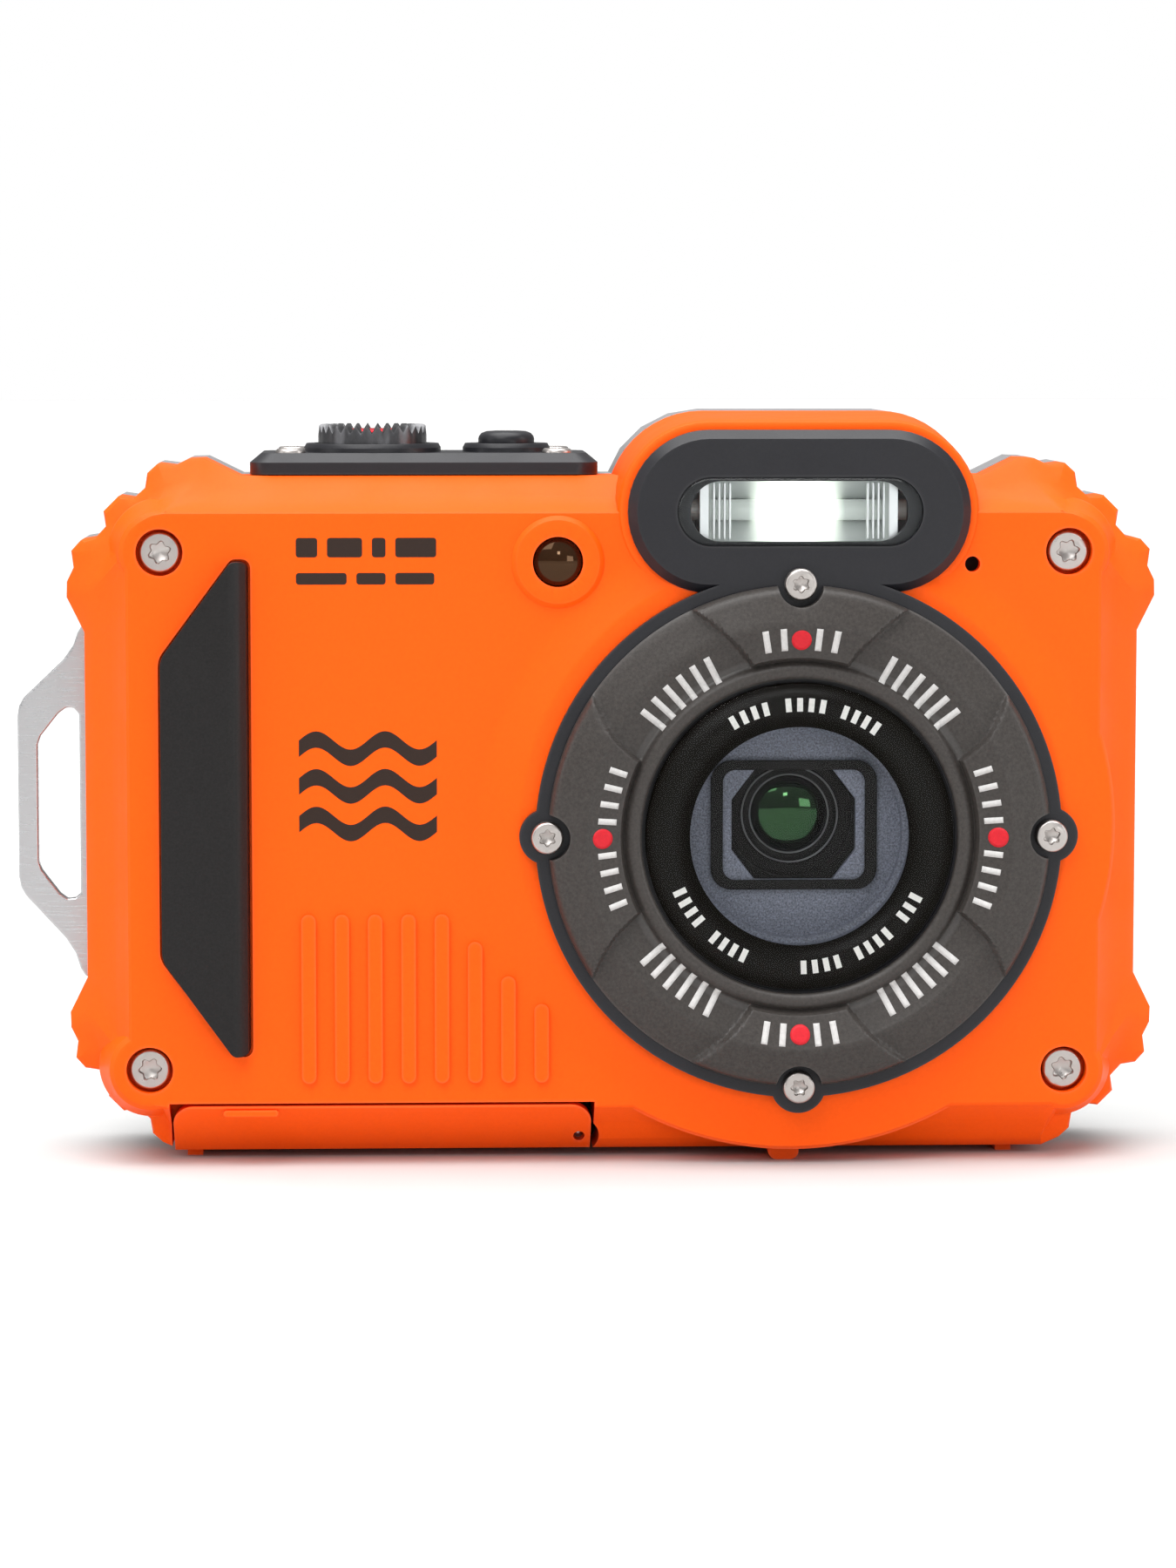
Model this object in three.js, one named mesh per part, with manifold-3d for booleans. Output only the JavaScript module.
// A rugged waterproof compact camera, built from its separate pieces.
// Millimetres. X runs to the right as seen from the front, Y from front to back, Z up from the feet.
import * as THREE from "three";
import { mergeVertices } from "three/addons/utils/BufferGeometryUtils.js";
import Module from "manifold-3d";

const wasm = await Module();
wasm.setup();

// ---------------------------------------------------------------- driving dimensions
const ROUND = 20; // facets of a small circle
const WIDE = 40; // facets of a large circle
const GAP = 0.3; // clearance between pieces that move past each other
const FIT = 0.1; // clearance between fixed pieces

// Casing: depth stations, front to back.
const FACE = -7; // flat front face
const RIM = -1; // where the front bevel meets the side wall
const SPLIT = 5.3; // back edge of the front shell
const REAR_EDGE = 5.9; // front edge of the rear shell
const REAR_BEVEL = 13.4; // where the rear bevel begins
const BACK = 15.8; // flat back face
const WALL = 1.8;

// Casing: outline. Each corner is a fan of knobbly lobes round its own centre.
const CORNER_X = 42.3;
const CORNER_TOP = 58.9;
const CORNER_LOW = 15.6;
const EDGE = 12.6; // straight sides lie this far outside the corner centres
const BODY_LOW = 0.9; // underside of the casing, above the feet
const BODY_TOP = CORNER_TOP + EDGE;
const EDGE_START = 3.6; // straight sides begin this far past the corner centres
// [degrees off the corner's diagonal, distance from its centre], on one side of the diagonal
const LOBES = [
  [4.6, 13.8],
  [9.3, 12.65],
  [16.5, 12.95],
  [20.3, 14.2],
  [25.7, 14.7],
  [32.1, 14.0],
  [38.4, 14.45],
  [44.8, 14.4],
];
const LOW_LOBES = 5; // lobe points kept next to the flat underside

// Front face, inside its bevel.
const FACE_X = 50.2;
const FACE_TOP = 67.9;
const FACE_LOW = 6.2;
const FACE_ROUND = 4;

// Lens axis and flash housing.
const LENS_X = 18.9;
const LENS_Z = 34.6;
const FLASH_Z = 68;
const FLASH_HALF = 9.3; // from the housing's middle to the centre of each round end
const BEZEL_R = 27.2;
const RING_R = 25.9;
const WINDOW_R = 16;
const RING_SCREW_R = 26; // circle of the ring screws
const LAMP = { x: -5.9, z: 62.8 };
const MICROPHONE = { x: 36.9, z: 62.5 };

// Top controls.
const PLATE = {
  left: -37.7,
  right: -1.5,
  front: -1.1,
  back: 15.1,
  low: BODY_TOP + FIT,
  high: BODY_TOP + 2.3,
};
const KEY_Y = 7.4;
const SHUTTER_X = -25;
const POWER_X = -10.9;
const SHUTTER_TEETH = 30;

// Battery door, hinged along Y at its right end.
const DOOR = { left: -45.9, right: -2.4, back: 11, top: 6.4, inner: 2.7 };
const HINGE = { x: -3.6, z: 2.4, pin: 0.5, front: -0.4, back: 11 };
const BAY = { left: -40.9, right: -8.6, low: 8.4, high: 50 };

// ---------------------------------------------------------------- solids
function solidOf(geometry) {
  const bare = new THREE.BufferGeometry();
  bare.setAttribute("position", geometry.getAttribute("position"));
  if (geometry.index) bare.setIndex(geometry.index);
  const merged = mergeVertices(bare, 1e-4);
  return new wasm.Manifold(
    new wasm.Mesh({
      numProp: 3,
      vertProperties: merged.attributes.position.array,
      triVerts: new Uint32Array(merged.index.array),
    }),
  );
}

function geometryOf(solid) {
  const { vertProperties, triVerts } = solid.simplify(0.004).getMesh(); // drops slivers
  const geometry = new THREE.BufferGeometry();
  geometry.setAttribute("position", new THREE.BufferAttribute(vertProperties, 3));
  geometry.setIndex(new THREE.BufferAttribute(triVerts, 1));
  return geometry;
}

const join = (...pieces) => geometryOf(pieces.map(solidOf).reduce((a, b) => a.add(b)));
const cut = (piece, ...tools) =>
  geometryOf(tools.map(solidOf).reduce((a, b) => a.subtract(b), solidOf(piece)));
const common = (a, b) => geometryOf(solidOf(a).intersect(solidOf(b)));

// Shapes are drawn in the plane they are named for, and extruded across it.
const ACROSS = {
  x: [new THREE.Vector3(0, 1, 0), new THREE.Vector3(0, 0, 1), new THREE.Vector3(1, 0, 0)], // drawn in Y, Z
  y: [new THREE.Vector3(1, 0, 0), new THREE.Vector3(0, 0, 1), new THREE.Vector3(0, -1, 0)], // drawn in X, Z
  z: [new THREE.Vector3(1, 0, 0), new THREE.Vector3(0, 1, 0), new THREE.Vector3(0, 0, 1)], // drawn in X, Y
};

function prism(axis, shape, from, to, curveSegments = 6) {
  const geometry = new THREE.ExtrudeGeometry(shape, { depth: to - from, bevelEnabled: false, curveSegments });
  geometry.applyMatrix4(new THREE.Matrix4().makeBasis(...ACROSS[axis]));
  const start = axis === "y" ? to : from; // the drawing plane of Y faces forwards
  return geometry.translate(axis === "x" ? start : 0, axis === "y" ? start : 0, axis === "z" ? start : 0);
}

function rod(axis, radius, from, to, a, b, endRadius = radius, facets = ROUND) {
  const geometry = new THREE.CylinderGeometry(endRadius, radius, to - from, facets);
  const middle = (from + to) / 2;
  if (axis === "x") return geometry.rotateZ(-Math.PI / 2).translate(middle, a, b);
  if (axis === "y") return geometry.translate(a, middle, b);
  return geometry.rotateX(Math.PI / 2).translate(a, b, middle);
}

// A solid of revolution about Y from [radius, y] points, front to back, that start and end on the axis.
function turned(profile, facets = ROUND) {
  return new THREE.LatheGeometry(profile.map(([r, y]) => new THREE.Vector2(r, y)), facets);
}

function block(x0, x1, y0, y1, z0, z1) {
  const box = new THREE.BoxGeometry(x1 - x0, y1 - y0, z1 - z0);
  return box.translate((x0 + x1) / 2, (y0 + y1) / 2, (z0 + z1) / 2);
}

function polygon(points) {
  return new THREE.Shape(points.map(([a, b]) => new THREE.Vector2(a, b)));
}

function roundRect(left, right, low, high, radius) {
  const shape = new THREE.Shape();
  shape.absarc(right - radius, low + radius, radius, -Math.PI / 2, 0);
  shape.absarc(right - radius, high - radius, radius, 0, Math.PI / 2);
  shape.absarc(left + radius, high - radius, radius, Math.PI / 2, Math.PI);
  shape.absarc(left + radius, low + radius, radius, Math.PI, 1.5 * Math.PI);
  return shape;
}

const stadium = (x, z, half, radius) =>
  roundRect(x - half - radius, x + half + radius, z - radius + 1e-3, z + radius - 1e-3, radius - 1e-3);

// A closed skin over rings of equal length, each a list of [x, y, z], from back to front.
function loft(rings) {
  const count = rings[0].length;
  const points = rings.flat();
  const faces = [];
  for (let r = 0; r < rings.length - 1; r++)
    for (let i = 0; i < count; i++) {
      const a = r * count + i;
      const b = r * count + ((i + 1) % count);
      faces.push([a, b, b + count], [a, b + count, a + count]);
    }
  for (const [ring, flip] of [[0, true], [rings.length - 1, false]]) {
    const flat = rings[ring].map(([x, , z]) => new THREE.Vector2(x, z));
    for (const [a, b, c] of THREE.ShapeUtils.triangulateShape(flat, [])) {
      const start = ring * count;
      faces.push(flip ? [start + a, start + c, start + b] : [start + a, start + b, start + c]);
    }
  }
  const geometry = new THREE.BufferGeometry();
  geometry.setAttribute("position", new THREE.Float32BufferAttribute(points.flat(), 3));
  geometry.setIndex(faces.flat());
  return geometry;
}

// ---------------------------------------------------------------- casing outline
// One corner as [x, z, direction] from its centre, anticlockwise, in the top right orientation.
function cornerFan(low) {
  const turn = THREE.MathUtils.degToRad;
  const at = ([off, r], side) => {
    const direction = turn(45 + side * off);
    return [r * Math.cos(direction), r * Math.sin(direction), direction];
  };
  const sideHalf = LOBES.map((lobe) => at(lobe, -1)).reverse();
  const endHalf = (low ? LOBES.slice(0, LOW_LOBES) : LOBES).map((lobe) => at(lobe, 1));
  const last = low ? [3, CORNER_LOW - BODY_LOW, Math.PI / 2] : [-EDGE_START, EDGE, Math.PI / 2];
  return [[EDGE, -EDGE_START, 0], ...sideHalf, ...endHalf, last];
}

// The whole outline at depth y. inset pulls it in evenly; face gives the front face's rounded box instead.
function outline(y, inset = 0, face = false) {
  const ring = [];
  const corners = [[1, 1], [-1, 1], [-1, -1], [1, -1]];
  for (const [sx, sz] of corners) {
    const low = sz < 0;
    const fan = cornerFan(low).map(([x, z, direction]) => {
      if (face) {
        const top = low ? CORNER_LOW - FACE_LOW : FACE_TOP - CORNER_TOP;
        x = FACE_X - CORNER_X - FACE_ROUND * (1 - Math.cos(direction));
        z = top - FACE_ROUND * (1 - Math.sin(direction));
      }
      const far = Math.hypot(x, z);
      const shrink = (far - inset) / far;
      return [sx * (CORNER_X + x * shrink), y, (low ? CORNER_LOW : CORNER_TOP) + sz * z * shrink];
    });
    ring.push(...(sx * sz > 0 ? fan : fan.reverse()));
  }
  return ring;
}

// Round ends and straight sides of the flash housing at depth y.
function housing(y, radius) {
  const steps = ROUND / 2;
  const ring = [];
  for (const side of [1, -1])
    for (let i = 0; i <= steps; i++) {
      const turn = (-side * Math.PI) / 2 + (Math.PI * i) / steps;
      const centre = LENS_X + side * FLASH_HALF;
      ring.push([centre + radius * Math.cos(turn), y, FLASH_Z + radius * Math.sin(turn)]);
    }
  return ring;
}

// The hollow inside the casing. Its corners are notched, which leaves a solid post for each case screw.
function cavity(front, back, halfWidth, low, high) {
  const post = { x: 41.2, low: 16.5, top: 57.2 };
  return prism("y", polygon([
    [-post.x, low], [post.x, low], [post.x, post.low], [halfWidth, post.low],
    [halfWidth, post.top], [post.x, post.top], [post.x, high], [-post.x, high],
    [-post.x, post.top], [-halfWidth, post.top], [-halfWidth, post.low], [-post.x, post.low],
  ]), front, back);
}

const CASE_SCREWS = [[-46.8, 63.8], [46.9, 63.8], [46.8, 9.8], [-48.2, 10.2]];
const PLATE_SCREW_INSET = 4.2;
const PLATE_SCREWS = [
  [PLATE.left + PLATE_SCREW_INSET, 2.3],
  [PLATE.right - PLATE_SCREW_INSET, 2.3],
  [PLATE.right - PLATE_SCREW_INSET, 12.1],
  [PLATE.left + PLATE_SCREW_INSET, 12.1],
];
const PLATE_SCREW_TOP = PLATE.high + 0.45;
const plateScrewHole = ([x, y]) => rod("z", 0.95, 66, 80, x, y, 0.95, 12);

// ---------------------------------------------------------------- materials
const finish = (color, roughness, metalness = 0) =>
  new THREE.MeshStandardMaterial({ color, roughness, metalness });
const ORANGE = finish(0xff6a1e, 0.55);
const BLACK = finish(0x2b2c2e, 0.5);
const GRAPHITE = finish(0x4c4a49, 0.65);
const GREY = finish(0x8c8a8c, 0.6);
const STEEL = finish(0xb9b4ad, 0.35, 1);
const CHROME = finish(0xd8dadc, 0.12, 1);
const RUBBER = finish(0x26262a, 0.85);
const RED = finish(0xd8253a, 0.35);
const GLASS = finish(0x101412, 0.05);
const CLEAR = finish(0xdfe6ea, 0.1);
const BOARD = finish(0x1f5a3a, 0.6);
const CELL = finish(0x3a3d45, 0.5);
const BRASS = finish(0xb08d4a, 0.4, 1);
const SILVER = finish(0xd9dde0, 0.2, 1);

const camera = new THREE.Group();

function add(name, geometry, material, parent = camera) {
  const mesh = new THREE.Mesh(geometry, material);
  mesh.name = name;
  parent.add(mesh);
  return mesh;
}

// ---------------------------------------------------------------- battery door
// Section of the door, drawn in Y, Z: a lip up the front bevel, then the flat underside.
function doorSection() {
  return polygon([
    [FACE, DOOR.top], [FACE, FACE_LOW], [RIM, BODY_LOW], [DOOR.back, BODY_LOW],
    [DOOR.back, DOOR.inner], [-0.3, DOOR.inner], [-4.4, DOOR.top],
  ]);
}

const EARS = [[HINGE.front - 0.2, 1.2], [9.8, HINGE.back + 0.1]]; // hinge ears of the casing, in Y

// The hole that the door fills: its own section with clearance, room for the seal above it, and its swing.
function doorHole() {
  const run = prism("x", polygon([
    [FACE - 2, DOOR.top + GAP], [-4.1, DOOR.top + GAP], [0, DOOR.inner + 1.3],
    [DOOR.back + GAP, DOOR.inner + 1.3], [DOOR.back + GAP, -1], [FACE - 2, -1],
  ]), DOOR.left - GAP, HINGE.x);
  const swing = rod("y", 2.1, FACE - 2, DOOR.back + GAP, HINGE.x, HINGE.z);
  const end = common(
    prism("y", roundRect(HINGE.x - 8, DOOR.right + GAP, -3, DOOR.top + GAP, 2.4), FACE - 2, DOOR.back + GAP),
    block(HINGE.x - 1, DOOR.right + GAP, FACE - 2, DOOR.back + GAP, HINGE.z - 1, DOOR.top + GAP),
  );
  const cells = block(BAY.left, BAY.right, -4, 10, DOOR.inner, BAY.low + FIT);
  return join(run, swing, end, cells);
}

function ear([front, back]) {
  const web = block(HINGE.x - 1.3, HINGE.x + 1.6, front, back, HINGE.z, 6.4);
  const eye = join(rod("y", 1.3, front, back, HINGE.x, HINGE.z), web);
  return cut(eye, rod("y", HINGE.pin + FIT, front - 1, back + 1, HINGE.x, HINGE.z, HINGE.pin + FIT, 16));
}

function batteryDoor() {
  let door = prism("x", doorSection(), DOOR.left, DOOR.right);
  const corner = prism("y", roundRect(DOOR.left, DOOR.right, -5, DOOR.top, 2.2), FACE - 1, DOOR.back + 1);
  door = common(door, corner);
  const earRoom = EARS.map(([front, back]) =>
    block(HINGE.x - 1.9, DOOR.right + 1, front - GAP, back + GAP, -1, DOOR.top + 1));
  const knuckle = rod("y", 1.4, EARS[0][1] + GAP, EARS[1][0] - GAP, HINGE.x, HINGE.z);
  const bore = rod("y", HINGE.pin + FIT, -8, 12, HINGE.x, HINGE.z, HINGE.pin + FIT, 16);
  const foot = block(-44.7, -43.1, 1, 10.4, 0, BODY_LOW + 0.5);
  const padRecess = block(-41.6, -33.4, 2.4, 7.6, BODY_LOW - 1, BODY_LOW + 0.7);
  const stemSlot = block(-40.2, -34.8, 4, 6, 0, DOOR.inner + 1);
  return cut(join(cut(door, ...earRoom), knuckle, foot), bore, padRecess, stemSlot);
}

function doorLatch() {
  const pad = block(-41.2, -36.4, 2.8, 7.2, 0.5, BODY_LOW + 0.55);
  const ribs = [-40.2, -38.8, -37.4].map((x) => block(x - 0.3, x + 0.3, 2.8, 7.2, 0.25, 0.6));
  const stem = block(-39.8, -37.8, 4.2, 5.8, 1, DOOR.inner + 0.3);
  const bolt = block(-45.4, -36.8, 4, 6, DOOR.inner + FIT, DOOR.inner + 0.9);
  return join(pad, stem, bolt, ...ribs);
}

function doorSeal() {
  const outer = block(-43.2, -8.4, 0.4, 10.2, DOOR.inner + FIT, DOOR.inner + 1);
  const inner = block(-42.2, -9.4, 1.4, 9.2, DOOR.inner - 1, DOOR.inner + 2);
  const latchGate = block(-46, -34, 3.6, 6.4, DOOR.inner - 1, DOOR.inner + 2);
  return cut(outer, inner, latchGate);
}

// ---------------------------------------------------------------- casing
const frontHoles = () => [
  rod("y", 14.6, FACE - 3, FACE + 4, LENS_X, LENS_Z), // lens
  prism("y", stadium(LENS_X, FLASH_Z, 8.4, 4.4), FACE - 3, 3), // flash
  rod("y", 2.6, FACE - 2, FACE + 3, LAMP.x, LAMP.z),
  rod("y", 0.75, FACE - 2, FACE + 3, MICROPHONE.x, MICROPHONE.z, 0.75, 12),
];

function frontShell() {
  const body = loft([outline(SPLIT), outline(RIM), outline(FACE, 0, true)]);
  const dome = loft([housing(SPLIT, 10.1), housing(FACE - 0.5, 9.1)]);
  const ramp = rod("y", 27.5, FACE - 1.1, FACE + 0.5, LENS_X, LENS_Z, 30.8, WIDE);
  const lampRim = rod("y", 4, FACE - 0.6, FACE + 0.5, LAMP.x, LAMP.z, 4.7);
  const ribs = [26.6, 26.6, 26.6, 26.6, 26.6, 23.7, 20.1, 17.2].map((top, i) => {
    const x = -31.7 + 3.44 * i;
    return prism("y", roundRect(x - 0.75, x + 0.75, 9, top, 0.74), FACE - 0.45, FACE + 0.4, 2);
  });
  const frontFoot = prism("y", roundRect(16.2, 19.4, 0, 3.9, 0.9), -4, 0, 4);
  const sideFoot = block(40.7, 42.3, 1, SPLIT, 0, BODY_LOW + 1);
  const hollow = join(
    cavity(FACE + WALL, RIM, 48, 8.2, 66),
    cavity(RIM - 0.1, SPLIT + 1, 51.6, 6, BODY_TOP - 2),
    prism("y", stadium(LENS_X, FLASH_Z, FLASH_HALF, 7), FACE + 2, SPLIT + 1),
  );
  const counterbores = CASE_SCREWS.flatMap(([x, z]) => [
    rod("y", 2.4, FACE - 1, FACE + 2.4, x, z),
    rod("y", 1.25, FACE, SPLIT + 1, x, z, 1.25, 16),
  ]);
  const ringHoles = ringScrewPlaces().map(ringScrewHole);
  const plateHoles = PLATE_SCREWS.filter(([, y]) => y < SPLIT).map(plateScrewHole);
  const solid = cut(
    join(body, dome, ramp, lampRim, ...ribs, frontFoot, sideFoot),
    hollow, ...frontHoles(), ...counterbores, ...ringHoles, ...plateHoles, gripPocket(), doorHole(),
  );
  return join(solid, ear(EARS[0]));
}

function rearShell() {
  const body = loft([outline(BACK, 2.4), outline(REAR_BEVEL), outline(REAR_EDGE)]);
  const dome = loft([housing(BACK, 7.8), housing(REAR_BEVEL, 10.2), housing(REAR_EDGE, 10.1)]);
  const sideFoot = block(40.7, 42.3, REAR_EDGE, 12.4, 0, BODY_LOW + 1);
  const hollow = join(
    cavity(REAR_EDGE - 1, BACK - 2, 51.6, 6, BODY_TOP - 2),
    prism("y", stadium(LENS_X, FLASH_Z, FLASH_HALF, 7), REAR_EDGE - 1, BACK - 2),
  );
  const screwHoles = CASE_SCREWS.map(([x, z]) => rod("y", 1.25, SPLIT, 12, x, z, 1.25, 16));
  const plateHoles = PLATE_SCREWS.filter(([, y]) => y > SPLIT).map(plateScrewHole);
  const stemHoles = [SHUTTER_X, POWER_X].map((x) => rod("z", 1.4, 66, 75, x, KEY_Y, 1.4, 16));
  const screenSeat = prism("y", roundRect(-9.3, 50.3, 13.2, 59.8, 2.2), BACK - 1.2, BACK + 1, 4);
  const screenHole = block(-6, 47, BACK - 3, BACK + 1, 16.4, 56.6);
  const keyHoles = REAR_KEYS.map(({ x, z, r }) => rod("y", r + 0.2, BACK - 3, BACK + 1, x, z));
  const rockerShape = stadium(ROCKER.x, ROCKER.z, ROCKER.half, ROCKER.r + 0.25);
  const rockerHole = prism("y", rockerShape, BACK - 3, BACK + 1);
  const lugSlot = block(-60, -53, REAR_EDGE - 1, 7.7, 17.2, 56.8);
  const socketHole = rod("z", 3.7, -1, 7, SOCKET.x, SOCKET.y);
  const thumbRests = [24, 28, 32, 36, 40, 44].map((z) =>
    prism("y", roundRect(-51.2, -45.6, z, z + 1.5, 0.7), BACK - 0.4, BACK + 0.3, 2));
  const solid = cut(
    join(body, dome, sideFoot, ...thumbRests),
    hollow, ...screwHoles, ...plateHoles, ...stemHoles, screenSeat, screenHole, ...keyHoles, rockerHole,
    lugSlot, socketHole, doorHole(),
  );
  return join(solid, ear(EARS[1]));
}

// A flat ring that follows the hollow and steps round its corner posts, open where the battery bay passes.
function caseSeal() {
  const sheet = (grow) => join(
    block(-41.2 - grow, 41.2 + grow, SPLIT + FIT, REAR_EDGE - FIT, 6 - grow, BODY_TOP - 2 + grow),
    block(-51.6 - grow, 51.6 + grow, SPLIT + FIT, REAR_EDGE - FIT, 16.5 - grow, 57.2 + grow),
  );
  return cut(sheet(1.1), sheet(0.1), block(BAY.left, BAY.right, 0, 10, 0, 10));
}

// ---------------------------------------------------------------- front trim
function gripOutline(grow) {
  const left = -46.8 - grow;
  const right = -37.7 + grow;
  return polygon([
    [left, 22.6], [left, 52], [left + 0.6, 53.8], [-39.9, 62.3 + grow], [-39, 62.9 + grow],
    [right - 0.9, 62.9 + grow], [right, 62 + grow], [right, 12.7 - grow], [right - 0.9, 11.8 - grow],
    [-39, 11.8 - grow], [-39.9, 12.4 - grow], [left + 0.6, 20.8],
  ]);
}

const gripPocket = () => prism("y", gripOutline(0.15), FACE - 3, FACE + 0.9);

// Wedge of the grip: low at its outer edge, proud at its inner edge.
function gripPad() {
  const slab = prism("y", gripOutline(0), FACE - 3, FACE + 0.8);
  const slope = prism("z", polygon([
    [-48, FACE + 2], [-48, FACE - 0.5], [-45.8, FACE - 1.1], [-39.5, FACE - 2.1],
    [-38.2, FACE - 1.9], [-37, FACE - 1], [-37, FACE + 2],
  ]), 0, 80);
  return common(slab, slope);
}

const ringScrewPlaces = () => [90, 0, 270, 180].map((degrees) => {
  const turn = THREE.MathUtils.degToRad(degrees);
  return [LENS_X + RING_SCREW_R * Math.cos(turn), LENS_Z + RING_SCREW_R * Math.sin(turn)];
});

const ringScrewHole = ([x, z]) => rod("y", 0.95, FACE - 4, FACE + 3, x, z, 0.95, 12);

// Black plate that carries the lens ring and the flash.
function frontBezel() {
  const plateBack = FACE - 1.2;
  const plateFront = FACE - 2.3;
  const disc = rod("y", BEZEL_R - 0.5, plateFront, plateBack, LENS_X, LENS_Z, BEZEL_R, WIDE);
  const lugs = ringScrewPlaces().map(([x, z]) => rod("y", 2.5, plateFront, plateBack, x, z, 2.8, 16));
  const face = loft([housing(FACE - 0.6, 8.3), housing(FACE - 1.2, 8.3), housing(plateFront, 7.5)]);
  const seatR = WINDOW_R + 0.2;
  const windowSeat = rod("y", seatR, plateFront - 1, FACE - 1.9, LENS_X, LENS_Z, seatR, WIDE);
  const bore = rod("y", 13.4, plateFront - 1, FACE + 1, LENS_X, LENS_Z, 13.4, WIDE);
  const flashSeat = prism("y", stadium(LENS_X, FLASH_Z, 9.1, 3.55), FACE - 4, FACE - 1.4);
  const flashHole = prism("y", stadium(LENS_X, FLASH_Z, 8.1, 3.1), FACE - 4, FACE + 1);
  const screwHoles = ringScrewPlaces().map(ringScrewHole);
  const behindDomeDisc = rod("y", 27.7, FACE - 1.15, FACE + 1, LENS_X, LENS_Z, 31.2, WIDE);
  const domeFace = cut(face, behindDomeDisc);
  return cut(join(disc, ...lugs, domeFace), windowSeat, bore, flashSeat, flashHole, ...screwHoles);
}

// Rubber-armoured ring round the window, with four raised blocks.
function lensRing() {
  const low = FACE - 2.4;
  const crest = FACE - 4.3;
  const ring = turned([
    [WINDOW_R + 0.3, low], [WINDOW_R + 0.3, crest + 0.9], [17.2, crest + 0.2], [18.4, crest + 0.5],
    [22, crest], [RING_R - 0.5, low - 1.1], [RING_R, low - 0.6], [RING_R, low], [WINDOW_R + 0.3, low],
  ], WIDE).translate(LENS_X, 0, LENS_Z);
  const blockR = RING_R - 0.3;
  const blocks = [90, 0, 270, 180].map((degrees) => {
    const upright = degrees % 180 !== 0;
    const [outer, middle, inner] = upright ? [25.4, 20, 15.8] : [34.4, 28.8, 26];
    const corner = (off, r) => {
      const turn = THREE.MathUtils.degToRad(degrees + off);
      return [LENS_X + r * Math.cos(turn), LENS_Z + r * Math.sin(turn)];
    };
    return prism("y", polygon([
      corner(-inner, 18.6), corner(-middle, 22), corner(-outer, blockR), corner(-outer / 2, blockR),
      corner(0, blockR), corner(outer / 2, blockR), corner(outer, blockR), corner(middle, 22),
      corner(inner, 18.6), corner(0, 18.6),
    ]), crest - 0.5, low - 0.2);
  });
  const trimmed = blocks.map((piece) => common(piece, cone(crest)));
  const notches = ringScrewPlaces().map(([x, z]) => rod("y", 2.4, crest - 2, low + 1, x, z, 2.4, 20));
  return cut(join(ring, ...trimmed), ...notches);
}

// Bounds the raised blocks: they follow the ring's outer slope, half a millimetre higher.
const cone = (crest) => join(
  rod("y", 22.2, crest - 0.5, crest + 1.3, LENS_X, LENS_Z, RING_R - 0.2, WIDE),
  rod("y", RING_R - 0.2, crest + 1.25, crest + 3, LENS_X, LENS_Z, RING_R - 0.2, WIDE),
);

// A screw along Y with a six-lobed socket in its head, which faces the front.
function screw(head, headHeight, shaft, length, socket) {
  const end = headHeight + length;
  const half = [[0, 0], [head, 0], [head, headHeight], [shaft, headHeight], [shaft, end], [0, end]];
  const body = turned(half, 16);
  const star = [];
  for (let i = 0; i < 12; i++) {
    const reach = socket * (i % 2 ? 0.76 : 1);
    const turn = (Math.PI * i) / 6;
    star.push([reach * Math.cos(turn), reach * Math.sin(turn)]);
  }
  return cut(body, prism("y", polygon(star), -1, headHeight * 0.6));
}

function addScrews(stem, places, y, geometry) {
  places.forEach(([x, z], i) => add(`${stem}_${i + 1}`, geometry.clone(), STEEL).position.set(x, y, z));
}

// ---------------------------------------------------------------- top controls
function topPlate() {
  const sheet = (grow) =>
    roundRect(PLATE.left + grow, PLATE.right - grow, PLATE.front + grow, PLATE.back - grow, 2.4);
  const side = prism("z", sheet(0), PLATE.low, PLATE.low + 1.2, 4);
  const top = prism("z", sheet(1.1), PLATE.low + 1.1, PLATE.high, 4);
  const collars = [[SHUTTER_X, 7.2], [POWER_X, 4.6]].map(([x, outer]) =>
    rod("z", outer, PLATE.high - 0.1, PLATE.high + 0.9, x, KEY_Y, outer - 0.3));
  const wells = [[SHUTTER_X, 6.1], [POWER_X, 3.2]].map(([x, r]) =>
    rod("z", r, PLATE.low + 0.9, 80, x, KEY_Y));
  const stems = [SHUTTER_X, POWER_X].map((x) => rod("z", 1.4, 66, 80, x, KEY_Y, 1.4, 16));
  const screws = PLATE_SCREWS.flatMap(([x, y]) => [
    rod("z", 1.7, PLATE.high - 0.45, 80, x, y, 1.7, 20),
    plateScrewHole([x, y]),
  ]);
  return cut(join(side, top, ...collars), ...wells, ...stems, ...screws);
}

// Push button whose rim is cut into a crown of teeth.
function shutterButton() {
  const low = PLATE.high - 0.4;
  const rim = PLATE.high + 2.9;
  const spokes = 2 * SHUTTER_TEETH;
  const ring = (radius, height, tooth = 0) => Array.from({ length: spokes }, (_, i) => {
    const turn = (2 * Math.PI * i) / spokes;
    return [radius * Math.cos(turn), (i % 2 ? tooth : 0) - height, radius * Math.sin(turn)];
  });
  const cap = loft([ring(5.7, low), ring(5.7, rim, 0.8), ring(4.4, rim, 0.8), ring(4.1, PLATE.high + 1.3)])
    .rotateX(-Math.PI / 2)
    .translate(SHUTTER_X, KEY_Y, 0);
  return join(cap, rod("z", 1.2, 69.95, low + 0.2, SHUTTER_X, KEY_Y, 1.2, 12));
}

function powerButton() {
  const low = PLATE.high - 0.5;
  const high = PLATE.high + 2.2;
  return turned([
    [0, -high], [2.1, -high], [2.95, 0.6 - high], [2.95, -low], [1.2, -low], [1.2, -69.95], [0, -69.95],
  ]).rotateX(-Math.PI / 2).translate(POWER_X, KEY_Y, 0);
}

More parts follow.
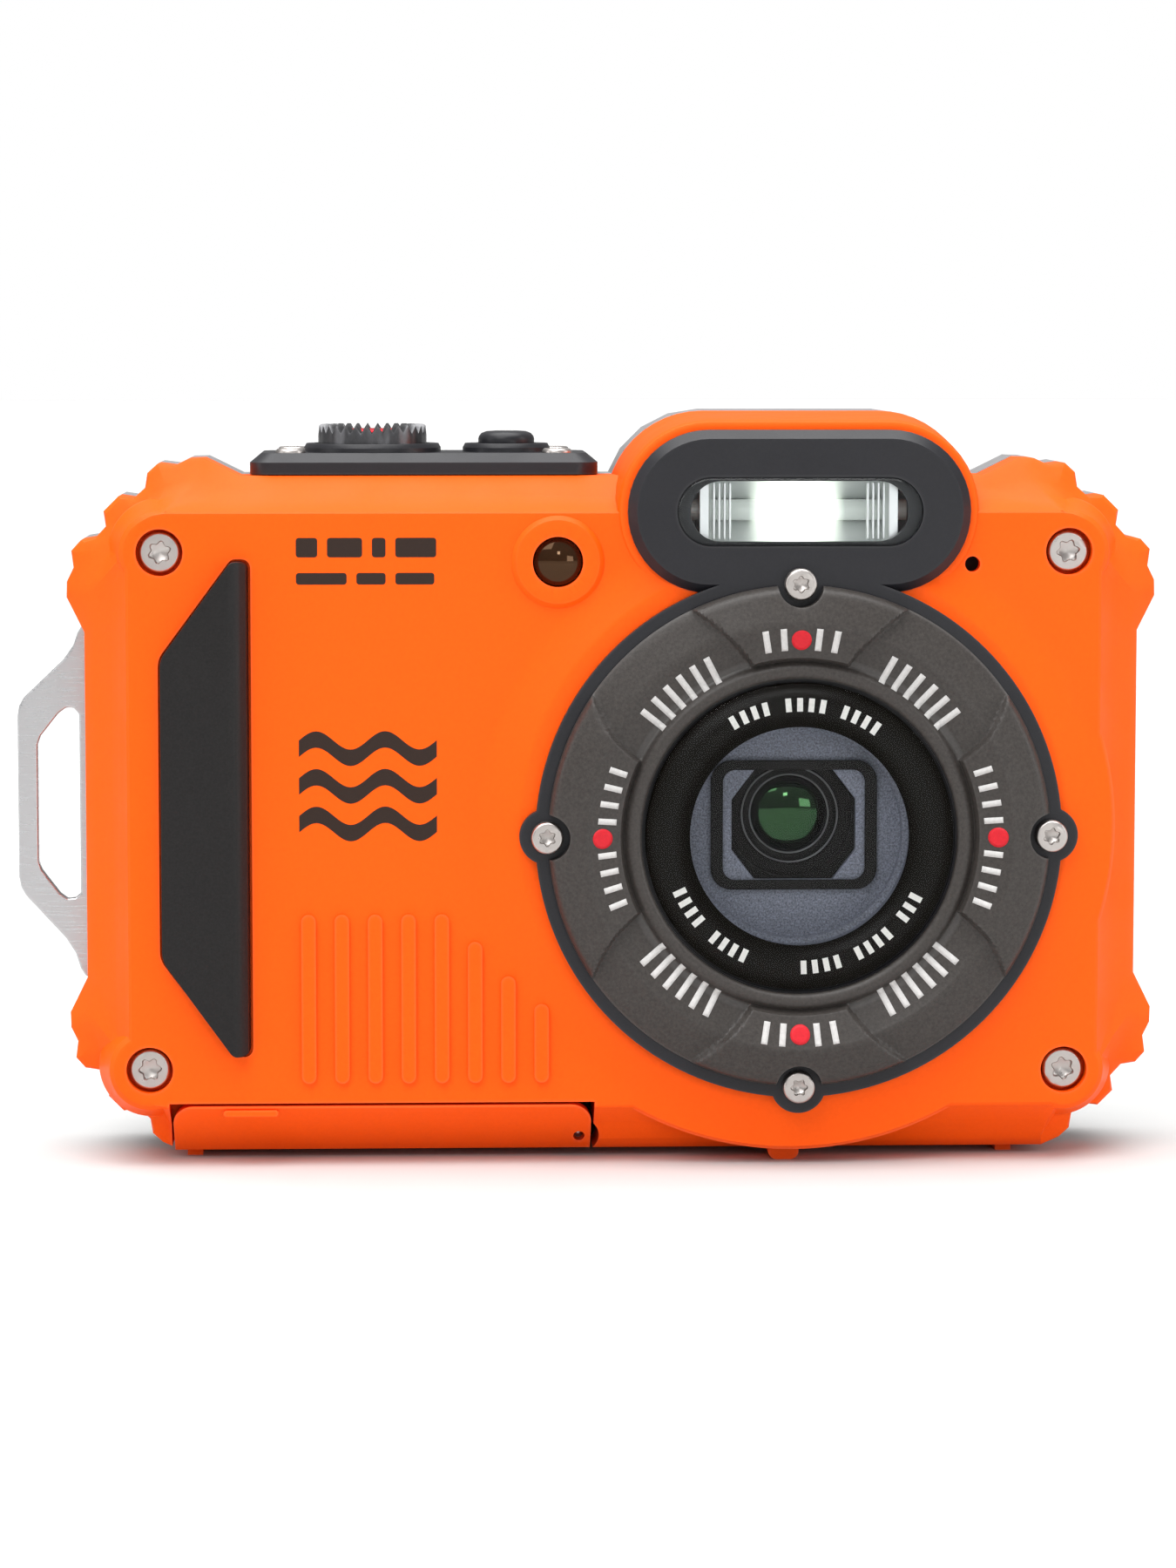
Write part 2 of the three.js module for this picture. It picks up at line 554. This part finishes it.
// ---------------------------------------------------------------- back controls
const REAR_KEYS = [
  { name: "record_button", x: -18.6, z: 60.2, r: 3.1, proud: 0.7 },
  { name: "play_button", x: -39.4, z: 50.2, r: 2.7, proud: 0.7 },
  { name: "menu_button", x: -21.4, z: 50.2, r: 2.7, proud: 0.7 },
  { name: "wireless_button", x: -39.4, z: 21.6, r: 2.7, proud: 0.7 },
  { name: "delete_button", x: -21.4, z: 21.6, r: 2.7, proud: 0.7 },
  { name: "direction_pad", x: -30.4, z: 35.9, r: 9.4, proud: 0.9 },
];
const PAD = REAR_KEYS[5];
const ROCKER = { x: -34.6, z: 60.2, half: 4.6, r: 3.1 };
const SOCKET = { x: 18.9, y: 9.8 };

// A key that pokes through the back wall, kept in by a flange on its inside.
function rearKey({ x, z, r, proud }) {
  const top = BACK + proud;
  const flange = [BACK - 3, BACK - 2.5];
  return turned([
    [0, flange[0]], [r + 0.8, flange[0]], [r + 0.8, flange[1]], [r, flange[1]],
    [r, top - 0.35], [r - 0.35, top], [0, top],
  ]).translate(x, 0, z);
}

function directionPad() {
  return cut(rearKey(PAD), rod("y", 4.4, BACK - 4, BACK + 2, PAD.x, PAD.z));
}

const okButton = () => turned([
  [0, BACK - 2.4], [4.1, BACK - 2.4], [4.1, BACK + 0.45], [3.7, BACK + 0.8], [0, BACK + 0.8],
]).translate(PAD.x, 0, PAD.z);

function zoomRocker() {
  const cap = prism("y", stadium(ROCKER.x, ROCKER.z, ROCKER.half, ROCKER.r), BACK - 1.6, BACK + 0.9);
  const humps = [-1, 1].map((side) =>
    rod("y", 1.9, BACK + 0.8, BACK + 1.3, ROCKER.x + side * ROCKER.half, ROCKER.z, 1.4));
  return join(cap, ...humps);
}

// ---------------------------------------------------------------- lens and inside
// Folded optics: light enters the front lens, turns down in a prism and passes the zoom group to the sensor.
const OPTICS = { shiftX: -0.5, shiftZ: 1.6, front: -2.7, prism: 3.5, prismFront: 0.4, back: 8.6, low: -20 };
const TUNNEL_Y = OPTICS.prismFront + OPTICS.prism; // the folded axis runs down at this depth
const BAFFLE_BACK = -3.4;
const TUBE_Y = -3.6;

function lensBaffle() {
  const tube = rod("y", 12.8, FACE - 1.7, BAFFLE_BACK, 0, 0, 12.8, WIDE);
  const bore = rod("y", 11.8, FACE - 3, BAFFLE_BACK - 0.9, 0, 0, 11.8, WIDE);
  const gate = polygon([
    [-8.4, -4.6], [-6.2, -6.8], [6.2, -6.8], [8.4, -4.6],
    [8.4, 4.6], [6.2, 6.8], [-6.2, 6.8], [-8.4, 4.6],
  ]);
  return cut(tube, bore, prism("y", gate, -8, 0).translate(OPTICS.shiftX, 0, OPTICS.shiftZ - 0.6));
}

function lensHousing() {
  const box = prism("y", roundRect(-11, 11, OPTICS.low, 10, 2), OPTICS.front, OPTICS.back, 4);
  const chamber = OPTICS.prism + 0.4;
  return cut(
    box,
    rod("y", 6.6, OPTICS.front - 1, OPTICS.prismFront - FIT, 0, 0),
    block(-chamber, chamber, OPTICS.front, OPTICS.back - 1, -chamber, chamber),
    rod("z", 3.6, OPTICS.low - 1, -3, 0, TUNNEL_Y),
  );
}

function lensBarrel() {
  const back = OPTICS.prismFront - 0.2;
  const tube = rod("y", 6.5, OPTICS.front, back, 0, 0);
  const funnel = rod("y", 5.9, OPTICS.front - 1, OPTICS.front + 1, 0, 0, 4.9);
  const seat = rod("y", 4.1, OPTICS.front + 0.9, OPTICS.front + 2.4, 0, 0);
  return cut(tube, funnel, seat, rod("y", 3.3, -6, back + 1, 0, 0));
}

function frontLens() {
  return turned([[0, 0], [1.6, 0.12], [2.9, 0.42], [3.9, 0.9], [3.9, 1.3], [0, 1.3]])
    .translate(0, OPTICS.front + 1.05, 0);
}

function foldPrism() {
  const { prism: leg, prismFront: y } = OPTICS;
  return prism("x", polygon([[y, -leg], [y + 2 * leg, -leg], [y, leg]]), -leg, leg);
}

const windowSeal = () => cut(rod("y", 15.7, FACE - 2.34, FACE - 1.96, 0, 0), rod("y", 13.6, -12, 0, 0, 0));

// Block with a trough for the light and a bore for the tube.
function flashReflector() {
  const trough = prism("x", polygon([
    [FACE - 1, -3.4], [-5, -3.1], [-3, -1.9], [-2.2, 0], [-3, 1.9], [-5, 3.1], [FACE - 1, 3.4],
  ]), -9.4, 9.4);
  const bore = rod("x", 1.25, -13, 13, TUBE_Y, 0, 1.25, 16);
  return cut(block(-10.2, 10.2, FACE - 0.2, -1.2, -3.9, 3.9), trough, bore);
}

function batteryBay() {
  const box = block(BAY.left + FIT, BAY.right - FIT, FACE + WALL + FIT, 9.2, BAY.low, BAY.high);
  return cut(box, block(-39.6, -9.9, -3.6, 3.2, 0, 47.4), block(-37.6, -12.4, 5.2, 8, 0, 39));
}

function strapLug() {
  const plate = polygon([
    [-53.4, 18], [-55.6, 18.4], [-56.6, 20.8], [-61.8, 27], [-62.5, 29], [-62.5, 46], [-61.8, 48],
    [-56.6, 53.4], [-55.6, 55.6], [-53.4, 56],
  ]);
  const slot = polygon([
    [-56, 27.2], [-57.4, 26.6], [-60.4, 30.4], [-60.4, 43.2], [-57.4, 46.9], [-56, 46.2],
  ]);
  return cut(prism("y", plate, REAR_EDGE + FIT, 7.5), prism("y", slot, REAR_EDGE - 1, 9));
}

function tripodSocket() {
  const sleeve = rod("z", 3.6, BODY_LOW + 0.2, 6.4, SOCKET.x, SOCKET.y);
  const flange = block(SOCKET.x - 5, SOCKET.x + 5, REAR_EDGE + 0.2, 13.6, 6.3, 7.4);
  return cut(join(sleeve, flange), rod("z", 3.1, -1, 6.6, SOCKET.x, SOCKET.y));
}

// ---------------------------------------------------------------- assembly
add("front_shell", frontShell(), ORANGE);
add("rear_shell", rearShell(), GREY);
add("case_seal", caseSeal(), RUBBER);
add("front_bezel", frontBezel(), BLACK);
add("lens_ring", lensRing(), GRAPHITE);
add("grip_pad", gripPad(), RUBBER);
add("strap_lug", strapLug(), CHROME);
add("tripod_socket", tripodSocket(), BRASS);
addScrews("case_screw", CASE_SCREWS, FACE + 0.8, screw(2.1, 1.5, 1.1, 13, 1.05));
addScrews("ring_screw", ringScrewPlaces(), FACE - 3.7, screw(1.65, 1.3, 0.8, 3.4, 0.85));

const lensUnit = new THREE.Group();
lensUnit.position.set(LENS_X, 0, LENS_Z);
camera.add(lensUnit);
add("lens_window", rod("y", WINDOW_R, FACE - 3.2, FACE - 2.4, 0, 0, WINDOW_R, WIDE), GLASS, lensUnit);
add("window_seal", windowSeal(), RUBBER, lensUnit);
add("lens_baffle", lensBaffle(), BLACK, lensUnit);

const opticsUnit = new THREE.Group();
opticsUnit.position.set(OPTICS.shiftX, 0, OPTICS.shiftZ);
lensUnit.add(opticsUnit);
add("lens_housing", lensHousing(), BLACK, opticsUnit);
add("lens_barrel", lensBarrel(), BLACK, opticsUnit);
add("front_lens", frontLens(), GLASS, opticsUnit);
add("fold_prism", foldPrism(), GLASS, opticsUnit);
add("zoom_group", rod("z", 3.4, OPTICS.low + 0.6, OPTICS.low + 3.6, 0, TUNNEL_Y), GLASS, opticsUnit);
add("image_sensor", block(-5, 5, -0.6, 8.2, OPTICS.low - 1.6, OPTICS.low - 0.3), BOARD, opticsUnit);

const flashUnit = new THREE.Group();
flashUnit.position.set(LENS_X, 0, FLASH_Z);
camera.add(flashUnit);
add("flash_window", prism("y", stadium(0, 0, 9.1, 3.4), FACE - 2.5, FACE - 1.5), CLEAR, flashUnit);
add("flash_reflector", flashReflector(), SILVER, flashUnit);
add("flash_tube", rod("x", 1.1, -11.4, 11.4, TUBE_Y, 0, 1.1, 16), CLEAR, flashUnit);

add("lamp_window", rod("y", 2.5, FACE - 0.4, FACE + 1.2, LAMP.x, LAMP.z), GLASS);
add("lamp_emitter", join(
  block(LAMP.x - 2, LAMP.x + 2, -4.6, -3.8, LAMP.z - 2, LAMP.z + 2),
  rod("y", 1.3, -5.3, -4.5, LAMP.x, LAMP.z, 1.3, 16),
), CLEAR);
add("microphone", rod("y", 2, FACE + 2, FACE + 3.6, MICROPHONE.x, MICROPHONE.z, 2, 16), SILVER);

add("top_plate", topPlate(), BLACK);
PLATE_SCREWS.forEach(([x, y], i) => {
  const piece = screw(1.55, 0.8, 0.8, 3.4, 0.8).rotateX(-Math.PI / 2);
  add(`plate_screw_${i + 1}`, piece, STEEL).position.set(x, y, PLATE_SCREW_TOP);
});
add("shutter_button", shutterButton(), BLACK);
add("shutter_inset", rod("z", 3.7, PLATE.high + 1.4, PLATE.high + 1.9, SHUTTER_X, KEY_Y, 3.5), RED);
add("power_button", powerButton(), BLACK);
add("top_key_board", join(
  block(-34, -5, 6, 12.6, 66.3, 67.3),
  ...[SHUTTER_X, POWER_X].map((x) => rod("z", 1.5, 67.2, 68.8, x, KEY_Y + 0.6, 1.5, 16)),
), BOARD);

REAR_KEYS.filter((key) => key !== PAD).forEach((key) => add(key.name, rearKey(key), RUBBER));
add("direction_pad", directionPad(), RUBBER);
add("ok_button", okButton(), RUBBER);
add("zoom_rocker", zoomRocker(), RUBBER);
add("screen_window", prism("y", roundRect(-9, 50, 13.5, 59.5, 2), BACK - 1.1, BACK + 0.25, 4), GLASS);
add("screen_panel", block(-5.4, 46.4, 10.6, BACK - 1.3, 17, 56), CELL);
add("main_board", block(-40.9, -10, 9.6, 10.6, 17.5, 64.5), BOARD);

add("battery_bay", batteryBay(), BLACK);
add("battery", block(-39.3, -10.2, -3.3, 2.9, 5.8, 47), CELL);
add("memory_card", block(-37.2, -12.8, 5.5, 7.6, 5.2, 38), CELL);
add("flash_capacitor", rod("x", 3.9, -36, -12, 0.2, 55, 3.9, 20), CELL);
add("battery_door", batteryDoor(), ORANGE);
add("battery_door_seal", doorSeal(), RUBBER);
add("door_latch", doorLatch(), ORANGE);
add("hinge_pin", rod("y", HINGE.pin, HINGE.front, HINGE.back, HINGE.x, HINGE.z, HINGE.pin, 16), STEEL);

// The origin is on the ground, under the middle of the whole object.
const box = new THREE.Box3().setFromObject(camera);
camera.position.set(-(box.min.x + box.max.x) / 2, -(box.min.y + box.max.y) / 2, -box.min.z);

export default camera;
